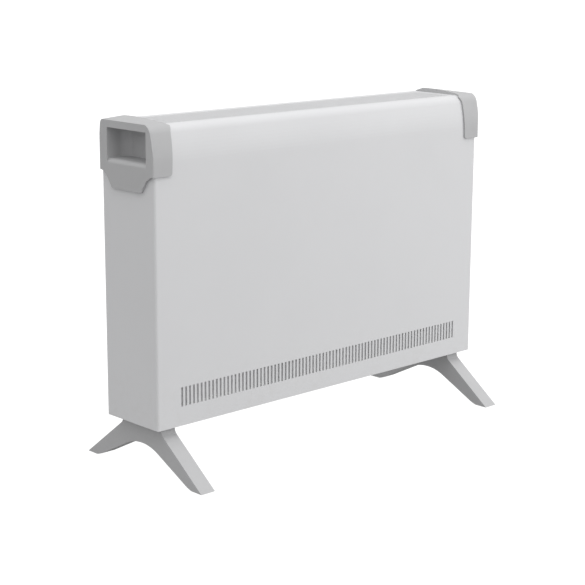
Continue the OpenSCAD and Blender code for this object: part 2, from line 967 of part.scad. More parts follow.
module motor_core()
  color(steel)
    translate([fan_x, 0, 0])
      difference() {
        union() {
          block(-core_half, core_half, -core_half, core_half, core_low, core_top);
          for (side = [-1, 1])
            block(core_half - 1, limb_u1, side < 0 ? -core_half : 12, side < 0 ? -12 : core_half,
                  core_low, core_top);
          block(limb_u0, limb_u1, -core_half, core_half, core_low, core_top);
        }
        rod_z(core_low - fit, core_top + fit, core_bore);
        for (x = [-motor_screw_x, motor_screw_x])
          translate([x, 0, 0])
            rod_z(core_low - fit, core_top + fit, 3.2);
      }

module motor_coil()
  color([0.62, 0.30, 0.16])
    translate([fan_x, 0, 0])
      difference() {
        along_y(-11.5, 11.5)
          round_rect(limb_u0 - 5, limb_u1 + 5, core_low - 6, core_top + 6, 3);
        block(limb_u0 - fit, limb_u1 + fit, -far, far, core_low - fit, core_top + fit);
      }

module motor_spacers()
  color(steel)
    for (x = [-motor_screw_x, motor_screw_x], z = [[duct_top, core_low], [core_top, strip_low]])
      translate([fan_x + x, 0, 0])
        difference() {
          rod_z(z[0], z[1], 6);
          rod_z(z[0] - fit, z[1] + fit, 3.2);
        }

module motor_bearing_strip()
  color(steel)
    translate([fan_x, 0, 0])
      difference() {
        along_z(strip_low, strip_low + strip_t)
          round_rect(-core_half, core_half, -7, 7, 5);
        rod_z(strip_low - fit, strip_low + strip_t + fit, bush_d + 0.04);
        for (x = [-motor_screw_x, motor_screw_x])
          translate([x, 0, 0])
            rod_z(strip_low - fit, strip_low + strip_t + fit, 3.2);
      }

bush_spans = [[duct_top - 6, duct_top + 1], [strip_low - 2, strip_low + strip_t + 2]];

module motor_bushes()
  color(brass)
    for (z = bush_spans)
      translate([fan_x, 0, 0])
        difference() {
          rod_z(z[0], z[1], bush_d);
          rod_z(z[0] - fit, z[1] + fit, bush_bore);
        }

module motor_screws()
  color(steel)
    for (x = [-motor_screw_x, motor_screw_x])
      translate([fan_x + x, 0, 0]) {
        rod_z(strip_low + strip_t, strip_low + strip_t + 2.4, 6);
        rod_z(duct_top - 7, strip_low + strip_t, 3);
      }

module motor_rotor()
  color(steel)
    translate([fan_x, 0, 0])
      difference() {
        rod_z(core_low, core_top, rotor_d);
        rod_z(core_low - fit, core_top + fit, shaft_d + 0.04);
      }

module fan_shaft()
  color(steel)
    translate([fan_x, 0, 0])
      rod_z(hub_low + 2, strip_low + strip_t + 5, shaft_d);

module fan_impeller()
  color(black)
    translate([fan_x, 0, 0])
      difference() {
        union() {
          rod_z(hub_low, hub_top, hub_d);
          intersection() {
            for (i = [0 : blade_count - 1])
              rotate([0, 0, i * 360 / blade_count])
                translate([0, 0, (hub_low + hub_top) / 2])
                  rotate([blade_pitch, 0, 0])
                    block(hub_d / 2 - 2, impeller_d / 2 + 2, -blade_chord / 2, blade_chord / 2,
                          -blade_t / 2, blade_t / 2);
            rod_z(hub_low, hub_top, impeller_d);
          }
        }
        rod_z(hub_low + 2, hub_top + fit, shaft_d + 0.04);
      }

// ---------- Controls in the right end ----------

well_half_y = 27;
well_wall = 2;
well_z0 = z_low + 106;
well_z1 = z_low + 274;
well_x = half_w - well_depth;
well_floor = 2.4;
rim_w = 5;
rim_t = 1.4;
knob_z = z_low + 243;
switch_z = [z_low + 193, z_low + 160, z_low + 127];
switch_hole_h = 19.4;
switch_hole_w = 13.4;
bezel_h = 22;
bezel_w = 16;
bezel_t = 1.6;
switch_back = well_x - 18;
pivot_x = well_x + 0.4;
paddle_r = 8.3;
paddle_half = 5;
paddle_gap = 0.3;
pin_d = 2.6;
pin_hole = 2.7;
neck_d = 10;
shaft6 = 6;

// Walls and rim of the well
module control_well()
  color(pale_grey)
    difference() {
      union() {
        along_x(well_x, half_w)
          round_rect(-well_half_y - well_wall, well_half_y + well_wall,
                     well_z0 - well_wall, well_z1 + well_wall, 5);
        along_x(half_w, half_w + rim_t)
          round_rect(-well_half_y - rim_w, well_half_y + rim_w, well_z0 - rim_w, well_z1 + rim_w, 8);
      }
      along_x(well_x - fit, half_w + far)
        round_rect(-well_half_y, well_half_y, well_z0, well_z1, 4);
    }

// Plate that closes the well and carries the controls
module control_plate()
  color(pale_grey)
    difference() {
      along_x(well_x - well_floor, well_x)
        round_rect(-well_half_y - well_wall, well_half_y + well_wall,
                   well_z0 - well_wall, well_z1 + well_wall, 5);
      translate([0, 0, knob_z])
        rod_x(well_x - far, well_x + fit, neck_d + 0.2);
      for (z = switch_z)
        block(well_x - far, well_x + fit, -switch_hole_w / 2, switch_hole_w / 2,
              z - switch_hole_h / 2, z + switch_hole_h / 2);
    }

module switch_body(z)
  translate([0, 0, z])
    difference() {
      union() {
        along_x(well_x, well_x + bezel_t)
          round_rect(-bezel_w / 2, bezel_w / 2, -bezel_h / 2, bezel_h / 2, 1.5);
        block(switch_back, well_x + fit, -switch_hole_w / 2 + fit, switch_hole_w / 2 - fit,
              -switch_hole_h / 2 + fit, switch_hole_h / 2 - fit);
        for (y = [-3, 3])
          block(switch_back - 7, switch_back, y - 0.4, y + 0.4, -3, 3);
      }
      block(pivot_x - paddle_r - 0.5, well_x + far, -paddle_half - paddle_gap, paddle_half + paddle_gap,
            -paddle_r - paddle_gap, paddle_r + paddle_gap);
      translate([pivot_x, 0, 0])
        rod_y(-paddle_half - 1.2, paddle_half + 1.2, pin_hole);
    }

// Rocker at rest in its off position
module rocker(z)
  translate([pivot_x, 0, z])
    rotate([0, -rocker_tilt, 0]) {
      along_y(-paddle_half, paddle_half)
        difference() {
          circle(r = paddle_r);
          polygon([
            [1.6, 0], [3.9, paddle_r * 0.9], [4.6, paddle_r + 2], [far, far],
            [far, -far], [4.6, -paddle_r - 2], [3.9, -paddle_r * 0.9]
          ]);
        }
      rod_y(-paddle_half - 1, paddle_half + 1, pin_d);
    }

module low_heat_switch()
  color(black)
    switch_body(switch_z[0]);

module high_heat_switch()
  color(black)
    switch_body(switch_z[1]);

module fan_switch()
  color(black)
    switch_body(switch_z[2]);

module low_heat_rocker()
  color(dark_grey)
    rocker(switch_z[0]);

module high_heat_rocker()
  color(dark_grey)
    rocker(switch_z[1]);

module fan_rocker()
  color(dark_grey)
    rocker(switch_z[2]);

stat_x = well_x - well_floor - 27;
stat_bore_x = stat_x + 10;
neck_end = well_x + 2.8;
knob_x0 = well_x + 3.4;
knob_x1 = half_w + 1;

module thermostat_body()
  color(dark_grey)
    translate([0, 0, knob_z])
      difference() {
        union() {
          along_x(stat_x, well_x - well_floor)
            round_rect(-18, 18, -16, 16, 2);
          rod_x(well_x - well_floor - fit, neck_end, neck_d);
        }
        rod_x(stat_bore_x, neck_end + fit, shaft6 + 0.1);
      }

module thermostat_nut()
  color(steel)
    translate([well_x, 0, knob_z])
      rotate([0, 90, 0])
        difference() {
          cylinder(d = 14 / cos(30), h = 2.4, $fn = 6);
          translate([0, 0, -fit])
            cylinder(d = neck_d + 0.1, h = 2.4 + 2 * fit);
        }

module thermostat_shaft()
  color(steel)
    translate([0, 0, knob_z])
      rod_x(stat_bore_x + 0.4, knob_x1 - 4, shaft6);

module thermostat_knob()
  color(dark_grey)
    translate([0, 0, knob_z])
      difference() {
        union() {
          rod_x(knob_x0, knob_x0 + 4, knob_d);
          rod_x(knob_x0 + 4, knob_x1 - 1.5, knob_d - 6);
          along_x(knob_x0 + 4, knob_x1)
            round_rect(-4, 4, -knob_d / 2 + 4, knob_d / 2 - 4, 3.5);
        }
        rod_x(knob_x0 - fit, knob_x1 - 4 + fit, shaft6 + 0.04);
      }

// ---------- Supply and wiring ----------

gland_y = 32;
gland_z = z_low + 34;
gland_d = 12;
gland_bore = 7.2;
gland_in = 12;

module cable_gland()
  color(black)
    translate([0, gland_y, gland_z])
      difference() {
        union() {
          rod_x(half_w - gland_in, half_w + 0.5, gland_d);
          rod_x(half_w, half_w + 2, 18);
        }
        rod_x(half_w - gland_in - fit, half_w + far, gland_bore);
      }

module gland_nut()
  color(black)
    translate([inner_w - 4, gland_y, gland_z])
      rotate([0, 90, 0])
        difference() {
          cylinder(d = 18 / cos(30), h = 4, $fn = 6);
          translate([0, 0, -fit])
            cylinder(d = gland_d + 0.1, h = 4 + 2 * fit);
        }

block_x0 = 236;
block_w = 20;
block_h = 18;
earth_x = 222;
earth_y = -20;

module terminal_block()
  color([0.85, 0.83, 0.78])
    difference() {
      block(block_x0, block_x0 + block_w, -13, 13, floor_z, floor_z + block_h);
      for (y = [-8.5, 0, 8.5])
        translate([block_x0 + block_w / 2 + 5, y, 0])
          rod_z(floor_z + 8, floor_z + block_h + fit, 4);
      for (y = [-4.25, 4.25])
        block(block_x0 - fit, block_x0 + block_w + fit, y - 0.6, y + 0.6,
              floor_z + 9, floor_z + block_h + fit);
    }

module earth_screw()
  color(brass)
    translate([earth_x, earth_y, 0]) {
      rod_z(floor_z, floor_z + 3, 8);
      rod_z(z_low - 3, floor_z, screw_d);
    }

wire_d = 2.2;

// A round wire through a list of points, rounded at each bend
module wire(path) {
  for (i = [0 : len(path) - 2]) {
    run = path[i + 1] - path[i];
    length = norm(run);
    translate(path[i])
      rotate([0, acos(run[2] / length), atan2(run[1], run[0])])
        cylinder(d = wire_d, h = length, $fn = 24);
  }
  for (i = [1 : len(path) - 2])
    translate(path[i])
      sphere(d = wire_d, $fn = 24);
}

block_top = floor_z + block_h;
tab_x = switch_back - 7;
tab_y = 3;
lead_gap = 2.4;
board_end = fan_x + mica_half - 9;

module wire_live()
  color([0.40, 0.22, 0.12])
    wire([[block_x0 + 5, 8.5, block_top], [block_x0 + 5, 8.5, knob_z], [stat_x, 8.5, knob_z]]);

module wire_low_heat()
  color([0.75, 0.12, 0.10])
    wire([
      [tab_x, tab_y, switch_z[0]], [218, tab_y, switch_z[0]], [218, tab_y, grommet_z + lead_gap],
      [board_end, tab_y, grommet_z + lead_gap], [board_end, -mica_y, grommet_z + lead_gap],
      [board_end, -mica_y, mica_low]
    ]);

module wire_high_heat()
  color([0.80, 0.45, 0.10])
    wire([
      [tab_x, tab_y, switch_z[1]], [230, tab_y, switch_z[1]], [230, tab_y, grommet_z - lead_gap],
      [board_end, tab_y, grommet_z - lead_gap], [board_end, mica_y, grommet_z - lead_gap],
      [board_end, mica_y, mica_low]
    ]);

module wire_fan()
  color([0.15, 0.30, 0.65])
    wire([
      [tab_x, -tab_y, switch_z[2]], [224, -tab_y, switch_z[2]], [224, -tab_y, grommet_z],
      [fan_x + 42, -tab_y, grommet_z], [fan_x + 42, -tab_y, core_top + 6]
    ]);

module wire_earth()
  color([0.25, 0.55, 0.20])
    wire([
      [block_x0 + 5, -8.5, block_top], [block_x0 + 5, -8.5, block_top + 12],
      [earth_x, -8.5, block_top + 12], [earth_x, earth_y, block_top + 12],
      [earth_x, earth_y, floor_z + 3]
    ]);

// ---------- Drawing ----------

front_panel();
left_end_panel();
right_end_panel();
top_grille();
back_panel();
base_plate();
intake_mesh();
left_end_cap();
right_end_cap();
left_foot();
right_foot();
foot_pads();
foot_screws();
foot_nuts();
base_screws();
back_panel_screws();
cap_screws();
left_bulkhead();
right_bulkhead();
front_heat_shield();
rear_heat_shield();
element_brackets();
low_heat_mica();
high_heat_mica();
low_heat_wire();
high_heat_wire();
thermal_cutout();
fan_housing();
fan_screws();
motor_core();
motor_coil();
motor_spacers();
motor_bearing_strip();
motor_bushes();
motor_screws();
motor_rotor();
fan_shaft();
fan_impeller();
control_well();
control_plate();
thermostat_body();
thermostat_nut();
thermostat_shaft();
thermostat_knob();
low_heat_switch();
high_heat_switch();
fan_switch();
low_heat_rocker();
high_heat_rocker();
fan_rocker();
terminal_block();
earth_screw();
cable_gland();
gland_nut();
bulkhead_grommet();
wire_live();
wire_low_heat();
wire_high_heat();
wire_fan();
wire_earth();
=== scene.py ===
import json
import math

import bmesh
import bpy
from mathutils import Matrix, Vector


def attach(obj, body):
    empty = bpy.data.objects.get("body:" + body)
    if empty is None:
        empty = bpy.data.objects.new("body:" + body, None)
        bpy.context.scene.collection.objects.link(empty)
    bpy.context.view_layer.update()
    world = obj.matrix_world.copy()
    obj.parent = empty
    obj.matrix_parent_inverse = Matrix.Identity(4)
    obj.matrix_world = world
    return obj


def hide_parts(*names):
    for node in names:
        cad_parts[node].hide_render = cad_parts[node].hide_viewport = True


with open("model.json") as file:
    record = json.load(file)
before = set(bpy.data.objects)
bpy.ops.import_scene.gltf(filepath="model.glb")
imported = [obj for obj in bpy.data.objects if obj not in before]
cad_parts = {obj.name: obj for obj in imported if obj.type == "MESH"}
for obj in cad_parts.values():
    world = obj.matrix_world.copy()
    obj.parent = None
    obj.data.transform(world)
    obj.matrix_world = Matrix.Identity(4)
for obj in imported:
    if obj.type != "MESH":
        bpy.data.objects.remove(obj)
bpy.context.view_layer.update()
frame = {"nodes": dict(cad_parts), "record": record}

NODES = frame["nodes"]
HOUSING = "housing"
MM = 0.001

# ---------- Camera, light and floor ----------

CAMERA_PLACE = Vector((-1.4442, -1.5079, 0.6691))
CAMERA_YAW = math.radians(-43.38)
CAMERA_DOWN = math.radians(12.858)
CAMERA_ROLL = math.radians(0.255)
CAMERA_LENS = 95.84
CAMERA_SENSOR = 36
CAMERA_SHIFT_UP = 0.001
SKY_STRENGTH = 0.85
KEY_STRENGTH = 0.92
KEY_SPREAD = math.radians(70)
KEY_TILT_FORWARD = math.radians(28)
FILL_PLACE = Vector((1.15, -1.35, 0.45))
FILL_POWER = 6.0
FILL_WIDTH = 1.0
FILL_TARGET = Vector((0, 0, 0.3))
FLOOR_REACH = 60
FLOOR_TONE = 0.12
FLOOR_GLOW = 0.22
BACKDROP_GLOW = 1.05


def make_camera():
    """The viewing angle: from the front left, a little above the heater."""
    back = Vector((
        math.sin(CAMERA_YAW) * math.cos(CAMERA_DOWN),
        -math.cos(CAMERA_YAW) * math.cos(CAMERA_DOWN),
        math.sin(CAMERA_DOWN),
    ))
    level = Vector((0, 0, 1)).cross(back).normalized()
    upright = back.cross(level)
    across = math.cos(CAMERA_ROLL) * level + math.sin(CAMERA_ROLL) * upright
    up = math.cos(CAMERA_ROLL) * upright - math.sin(CAMERA_ROLL) * level
    lens = bpy.data.cameras.new("camera")
    lens.lens = CAMERA_LENS
    lens.sensor_width = CAMERA_SENSOR
    lens.shift_y = CAMERA_SHIFT_UP
    camera = bpy.data.objects.new("camera", lens)
    camera.matrix_world = Matrix((
        (across.x, up.x, back.x, CAMERA_PLACE.x),
        (across.y, up.y, back.y, CAMERA_PLACE.y),
        (across.z, up.z, back.z, CAMERA_PLACE.z),
        (0, 0, 0, 1),
    ))
    bpy.context.scene.collection.objects.link(camera)
    bpy.context.scene.camera = camera


def paler_when_seen(tree, lit, strength):
    """One glow for the light that falls on things, and a white one for the backdrop."""
    seen = tree.nodes.new("ShaderNodeLightPath")
    share = tree.nodes.new("ShaderNodeMix")
    share.inputs[2].default_value = lit
    share.inputs[3].default_value = BACKDROP_GLOW
    tree.links.new(seen.outputs["Is Camera Ray"], share.inputs[0])
    tree.links.new(share.outputs[0], strength)


def make_light():
    """An even sky, a very broad lamp above and a soft panel in front on the right."""
    world = bpy.data.worlds.new("studio")
    bpy.context.scene.world = world
    world.use_nodes = True
    tree = world.node_tree
    backdrop = tree.nodes["Background"]
    paler_when_seen(tree, SKY_STRENGTH, backdrop.inputs["Strength"])
    backdrop.inputs["Color"].default_value = (1, 1, 1, 1)
    lamp = bpy.data.lights.new("key", "SUN")
    lamp.energy = KEY_STRENGTH
    lamp.angle = KEY_SPREAD
    key = bpy.data.objects.new("key", lamp)
    key.rotation_euler = (KEY_TILT_FORWARD, 0, 0)
    bpy.context.scene.collection.objects.link(key)
    panel = bpy.data.lights.new("fill", "AREA")
    panel.energy = FILL_POWER
    panel.size = FILL_WIDTH
    fill = bpy.data.objects.new("fill", panel)
    fill.location = FILL_PLACE
    fill.rotation_euler = (FILL_TARGET - FILL_PLACE).to_track_quat("-Z", "Y").to_euler()
    bpy.context.scene.collection.objects.link(fill)
    bpy.context.scene.view_settings.view_transform = "Standard"
    bpy.context.scene.view_settings.look = "None"


def make_floor():
    """A plain pale floor that glows a little, as a light table does."""
    shape = bmesh.new()
    bmesh.ops.create_grid(shape, x_segments=1, y_segments=1, size=FLOOR_REACH)
    mesh = bpy.data.meshes.new("floor")
    shape.to_mesh(mesh)
    shape.free()
    floor = bpy.data.objects.new("floor", mesh)
    paper = bpy.data.materials.new("floor_paper")
    paper.use_nodes = True
    shader = paper.node_tree.nodes["Principled BSDF"]
    shader.inputs["Base Color"].default_value = (FLOOR_TONE, FLOOR_TONE, FLOOR_TONE, 1)
    shader.inputs["Roughness"].default_value = 1
    shader.inputs["Specular IOR Level"].default_value = 0
    shader.inputs["Emission Color"].default_value = (1, 1, 1, 1)
    paler_when_seen(paper.node_tree, FLOOR_GLOW, shader.inputs["Emission Strength"])
    mesh.materials.append(paper)
    bpy.context.scene.collection.objects.link(floor)


make_camera()
make_light()
make_floor()

# ---------- Shader building ----------


class Signal:
    """A value on a socket. Arithmetic on it adds Math nodes to its finish."""

    def __init__(self, finish, socket):
        self.finish = finish
        self.socket = socket

    def calculate(self, operation, *values):
        inputs = dict(enumerate(values))
        return self.finish.node("ShaderNodeMath", {"operation": operation}, inputs)

    def __add__(self, other):
        return self.calculate("ADD", self, other)

    def __radd__(self, other):
        return self.calculate("ADD", other, self)

    def __sub__(self, other):
        return self.calculate("SUBTRACT", self, other)

    def __rsub__(self, other):
        return self.calculate("SUBTRACT", other, self)

    def __mul__(self, other):
        return self.calculate("MULTIPLY", self, other)

    def __rmul__(self, other):
        return self.calculate("MULTIPLY", other, self)

    def wave(self, pitch):
        """A smooth ripple from 0 to 1 along this value."""
        phase = self * (2 * math.pi / pitch)
        return 0.5 + 0.5 * phase.calculate("SINE", phase)

    def eased(self, low, high):
        """0 below low, 1 above high and smooth between."""
        settings = {"interpolation_type": "SMOOTHSTEP"}
        inputs = {"Value": self, "From Min": low, "From Max": high}
        return self.finish.node("ShaderNodeMapRange", settings, inputs)


COAT_ROUGHNESS = 0.2


class Finish:
    """A procedural material, built up from its principled shader."""

    def __init__(self, name, colour, roughness, metallic=0.0, specular=0.5, coat=0.0):
        self.material = bpy.data.materials.new(name)
        self.material.use_nodes = True
        self.tree = self.material.node_tree
        self.shader = self.tree.nodes["Principled BSDF"]
        self.colour = (*colour, 1)
        self.roughness = roughness
        self.shader.inputs["Metallic"].default_value = metallic
        self.shader.inputs["Specular IOR Level"].default_value = specular
        self.shader.inputs["Coat Weight"].default_value = coat
        self.shader.inputs["Coat Roughness"].default_value = COAT_ROUGHNESS
        self.place = self.node("ShaderNodeTexCoord", output="Object")
        self.height = None

    def feed(self, socket, value):
        """Link a signal to a socket, or set a plain value on it."""
        if isinstance(value, Signal):
            self.tree.links.new(value.socket, socket)
        else:
            socket.default_value = value

    def node(self, kind, settings={}, inputs={}, output=0):
        """Add a node: its settings first, then the values or links of its sockets."""
        made = self.tree.nodes.new(kind)
        for name, value in settings.items():
            setattr(made, name, value)
        for name, value in inputs.items():
            self.feed(made.inputs[name], value)
        return Signal(self, made.outputs[output])

    def noise(self, grain, detail=2.0, stretch=(1, 1, 1)):
        """Cloudy noise from 0 to 1, whose lumps are about one grain wide."""
        scale = {"Vector": self.place, "Scale": tuple(side / grain for side in stretch)}
        spread = self.node("ShaderNodeMapping", {}, scale)
        inputs = {"Vector": spread, "Scale": 1.0, "Detail": detail}
        return self.node("ShaderNodeTexNoise", {}, inputs)

    def cells(self, grain):
        """The distance from the nearest of many scattered points, from 0 up."""
        inputs = {"Vector": self.place, "Scale": 1 / grain}
        return self.node("ShaderNodeTexVoronoi", {}, inputs)

    def along(self, axis):
        """Place along X, Y or Z, in metres."""
        return self.node("ShaderNodeSeparateXYZ", {}, {"Vector": self.place}, output=axis)

    def mix(self, share, first, second):
        settings = {"data_type": "RGBA"}
        return self.node("ShaderNodeMix", settings, {0: share, 6: first, 7: second}, output=2)

    def tint(self, share, colour):
        """Lay another colour over what is there, by a share that varies."""
        self.colour = self.mix(share, self.colour, (*colour, 1))

    def raise_by(self, height):
        """Add to the relief, in millimetres."""
        self.height = height if self.height is None else self.height + height

    def done(self):
        """Connect the colour, the roughness and the relief."""
        self.feed(self.shader.inputs["Base Color"], self.colour)
        self.feed(self.shader.inputs["Roughness"], self.roughness)
        if self.height is not None:
            inputs = {"Height": self.height, "Distance": MM, "Strength": 1.0}
            bump = self.node("ShaderNodeBump", {}, inputs)
            self.feed(self.shader.inputs["Normal"], bump)
        return self.material


def shade(colour, factor):
    return tuple(factor * part for part in colour)


# ---------- Finishes ----------


def powder_coat():
    """Satin white powder coat with its fine orange peel and a trace of dust."""
    white = (0.715, 0.717, 0.728)
    finish = Finish("white_powder_coat", white, 0.42, specular=0.4)
    peel = finish.noise(1.1 * MM, detail=1.0)
    grain = finish.noise(0.35 * MM, detail=0.0)
    clouds = finish.noise(90 * MM, detail=3.0)
    finish.raise_by(0.045 * peel)
    finish.raise_by(0.02 * grain)
    finish.tint(clouds.eased(0.35, 0.75) * 0.5, shade(white, 0.975))
    low = finish.along("Z").eased(0.16, 0.06)
    dust = finish.noise(14 * MM, detail=4.0).eased(0.45, 0.8)
    finish.tint(low * dust * 0.25, (0.60, 0.59, 0.57))
    finish.roughness = 0.36 + 0.10 * clouds + 0.05 * peel
    return finish.done()


def moulded(name, colour, roughness, grain=0.55 * MM, depth=0.05, specular=0.45):
    """Moulded plastic with a spark-eroded grain, faint flow marks and handling wear."""
    finish = Finish(name, colour, roughness, specular=specular)
    sparks = finish.noise(grain, detail=2.0)
    clouds = finish.noise(28 * MM, detail=3.0)
    flow = finish.noise(16 * MM, detail=1.0, stretch=(0.25, 1, 1))
    scuffs = finish.noise(2.2 * MM, detail=4.0, stretch=(1, 1, 0.35)).eased(0.66, 0.82)
    finish.raise_by(depth * sparks)
    finish.tint(clouds.eased(0.3, 0.8) * 0.6, shade(colour, 0.955))
    finish.tint(flow.eased(0.5, 0.9) * 0.3, shade(colour, 1.05))
    finish.tint(scuffs * 0.18, shade(colour, 1.12))
    finish.roughness = roughness - 0.06 + 0.10 * sparks + 0.06 * clouds - 0.05 * scuffs
    return finish.done()


def woven_wire():
    """Dull zinc wire of the air filter, greyed by dust."""
    zinc = (0.60, 0.60, 0.61)
    finish = Finish("dusty_mesh", zinc, 0.6, metallic=0.1)
    dust = finish.noise(7 * MM, detail=4.0)
    finish.tint(dust.eased(0.4, 0.75) * 0.6, (0.50, 0.49, 0.48))
    finish.tint(finish.noise(2.5 * MM).eased(0.5, 0.7) * 0.4, (0.34, 0.34, 0.35))
    finish.raise_by(0.03 * finish.noise(0.3 * MM))
    finish.roughness = 0.5 + 0.3 * dust
    return finish.done()


def plated_steel():
    """Bright zinc on screws and nuts, with turning marks and a few rubbed spots."""
    finish = Finish("zinc_plate", (0.62, 0.62, 0.64), 0.32, metallic=1.0)
    marks = finish.noise(0.25 * MM, stretch=(1, 1, 6))
    spots = finish.noise(1.6 * MM, detail=3.0)
    finish.tint(spots.eased(0.55, 0.8) * 0.5, (0.43, 0.42, 0.42))
    finish.raise_by(0.02 * marks)
    finish.roughness = 0.24 + 0.16 * marks + 0.12 * spots
    return finish.done()


def spangled_steel():
    """Galvanised sheet: crystals of zinc that differ a little in tone."""
    finish = Finish("galvanised_sheet", (0.55, 0.56, 0.58), 0.38, metallic=0.95)
    crystals = finish.cells(9 * MM)
    cloud = finish.noise(5 * MM, detail=3.0)
    heat = finish.noise(60 * MM, detail=2.0)
    finish.tint(crystals.eased(0.15, 0.75) * 0.55, (0.42, 0.43, 0.46))
    finish.tint(cloud.eased(0.5, 0.75) * 0.4, (0.66, 0.66, 0.67))
    finish.tint(heat.eased(0.5, 0.8) * 0.3, (0.52, 0.46, 0.38))
    finish.raise_by(0.02 * crystals)
    finish.roughness = 0.30 + 0.14 * cloud + 0.10 * crystals
    return finish.done()


def flaked_mica():
    """Pressed mica board: pale flakes in a tan ground, in thin layers."""
    finish = Finish("mica_board", (0.55, 0.46, 0.33), 0.45, specular=0.6)
    flakes = finish.cells(2.4 * MM)
    specks = finish.noise(0.8 * MM, detail=3.0)
    layers = finish.noise(0.3 * MM, stretch=(0.05, 4, 0.05))
    finish.tint(flakes.eased(0.2, 0.6) * 0.5, (0.68, 0.60, 0.45))
    finish.tint(specks.eased(0.58, 0.7) * 0.6, (0.30, 0.24, 0.17))
    finish.raise_by(0.06 * flakes + 0.03 * layers)
    finish.roughness = 0.34 + 0.25 * flakes
    return finish.done()


def oxidised_wire():
    """Resistance wire with the brown and blue of heated nickel and chromium."""
    finish = Finish("resistance_wire", (0.30, 0.27, 0.25), 0.42, metallic=0.9)
    bands = finish.noise(6 * MM, detail=2.0)
    finish.tint(bands.eased(0.45, 0.6) * 0.7, (0.22, 0.20, 0.25))
    finish.tint(bands.eased(0.62, 0.75) * 0.6, (0.36, 0.26, 0.17))
    finish.raise_by(0.03 * finish.noise(0.3 * MM))
    finish.roughness = 0.36 + 0.2 * bands
    return finish.done()


def wound_copper():
    """Enamelled copper: close turns of wire, with painted shade darkening the grooves between them.
    """
    finish = Finish("enamelled_copper", (0.55, 0.22, 0.09), 0.3, metallic=0.85, coat=0.6)
    turns_and_groove_shade = finish.along("Y").wave(0.5 * MM)
    cloud = finish.noise(4 * MM)
    # painted shade: the colour is darkened in the grooves between turns, where shade falls; the
    # same ripple also gives the real relief
    finish.tint((1 - turns_and_groove_shade) * 0.6, (0.26, 0.09, 0.04))
    finish.tint(cloud.eased(0.5, 0.75) * 0.3, (0.66, 0.31, 0.14))
    finish.raise_by(0.25 * turns_and_groove_shade)
    finish.roughness = 0.24 + 0.14 * cloud
    return finish.done()


def turned_brass():
    """Brass with turning rings and a slight tarnish."""
    finish = Finish("turned_brass", (0.72, 0.52, 0.22), 0.3, metallic=1.0)
    rings = finish.noise(0.3 * MM, stretch=(1, 1, 8))
    tarnish = finish.noise(2 * MM, detail=3.0)
    finish.tint(tarnish.eased(0.5, 0.8) * 0.6, (0.42, 0.29, 0.13))
    finish.raise_by(0.02 * rings)
    finish.roughness = 0.22 + 0.2 * tarnish + 0.08 * rings
    return finish.done()


def core_steel():
    """Motor laminations: dark edges with the lines between thin sheets."""
    finish = Finish("core_laminations", (0.36, 0.36, 0.38), 0.42, metallic=0.9)
    rust = finish.noise(3 * MM, detail=4.0)
    sheets = finish.along("Z").wave(0.65 * MM)
    finish.tint((1 - sheets) * 0.55, (0.12, 0.12, 0.13))
    finish.tint(rust.eased(0.6, 0.8) * 0.5, (0.28, 0.20, 0.15))
    finish.raise_by(0.12 * sheets + 0.03 * finish.noise(0.3 * MM))
    finish.roughness = 0.34 + 0.25 * rust
    return finish.done()


def soft_rubber():
    """Black rubber with bloom and a matt moulded grain."""
    black = (0.030, 0.030, 0.031)
    finish = Finish("soft_rubber", black, 0.8, specular=0.3)
    bloom = finish.noise(5 * MM, detail=4.0)
    grain = finish.noise(0.4 * MM)
    finish.tint(bloom.eased(0.5, 0.8) * 0.5, (0.075, 0.073, 0.070))
    finish.raise_by(0.08 * grain)
    finish.roughness = 0.70 + 0.2 * bloom
    return finish.done()


def cable_sleeve(name, colour):
    """Extruded sleeve of a lead: glossy, with fine marks along it."""
    finish = Finish(name, colour, 0.35, specular=0.5)
    marks = finish.noise(0.5 * MM, detail=2.0)
    cloud = finish.noise(9 * MM)
    finish.tint(cloud.eased(0.4, 0.8) * 0.5, shade(colour, 0.8))
    finish.raise_by(0.02 * marks)
    finish.roughness = 0.28 + 0.16 * marks
    return finish.done()


def printed_ink(name, colour):
    """Pad-printed ink, slightly broken up by the grain under it."""
    finish = Finish(name, colour, 0.5)
    gaps = finish.noise(0.35 * MM, detail=1.0)
    finish.tint(gaps.eased(0.62, 0.8) * 0.4, (0.35, 0.35, 0.36))
    finish.raise_by(0.03 * gaps)
    finish.roughness = 0.45 + 0.15 * gaps
    return finish.done()


GREY = (0.490, 0.491, 0.497)
FINISHES = {
    "white_steel": powder_coat(),
    "dark_mesh": woven_wire(),
    "grey_plastic": moulded("grey_moulding", GREY, 0.48),
    "dark_plastic": moulded("dark_moulding", (0.060, 0.061, 0.065), 0.45),
    "black_plastic": moulded("black_moulding", (0.022, 0.022, 0.024), 0.42),
    "cream_plastic": moulded("cream_moulding", (0.62, 0.58, 0.48), 0.38, depth=0.03),
    "rubber": soft_rubber(),
    "zinc": plated_steel(),
    "galvanised": spangled_steel(),
    "mica": flaked_mica(),
    "resistance_wire": oxidised_wire(),
    "copper": wound_copper(),
    "brass": turned_brass(),
    "brown_wire": cable_sleeve("brown_sleeve", (0.16, 0.07, 0.03)),
    "red_wire": cable_sleeve("red_sleeve", (0.48, 0.03, 0.025)),
    "orange_wire": cable_sleeve("orange_sleeve", (0.62, 0.20, 0.03)),
    "blue_wire": cable_sleeve("blue_sleeve", (0.03, 0.09, 0.36)),
    "green_wire": cable_sleeve("green_sleeve", (0.06, 0.28, 0.07)),
}
LAMINATIONS = core_steel()
MOTOR_IRON = ("motor_core", "motor_rotor")
DARK_INK = printed_ink("dark_ink", (0.035, 0.036, 0.040))
WHITE_INK = printed_ink("white_ink", (0.75, 0.75, 0.75))
SLOT_OF_NODE = {part["node"]: part["material_slot"] for part in frame["record"]["subparts"]}
BODY_OF_NODE = {
    node: body
    for body, nodes in frame["record"]["behaviour"]["bodies"].items()
    for node in nodes
}

# ---------- Making pieces ----------

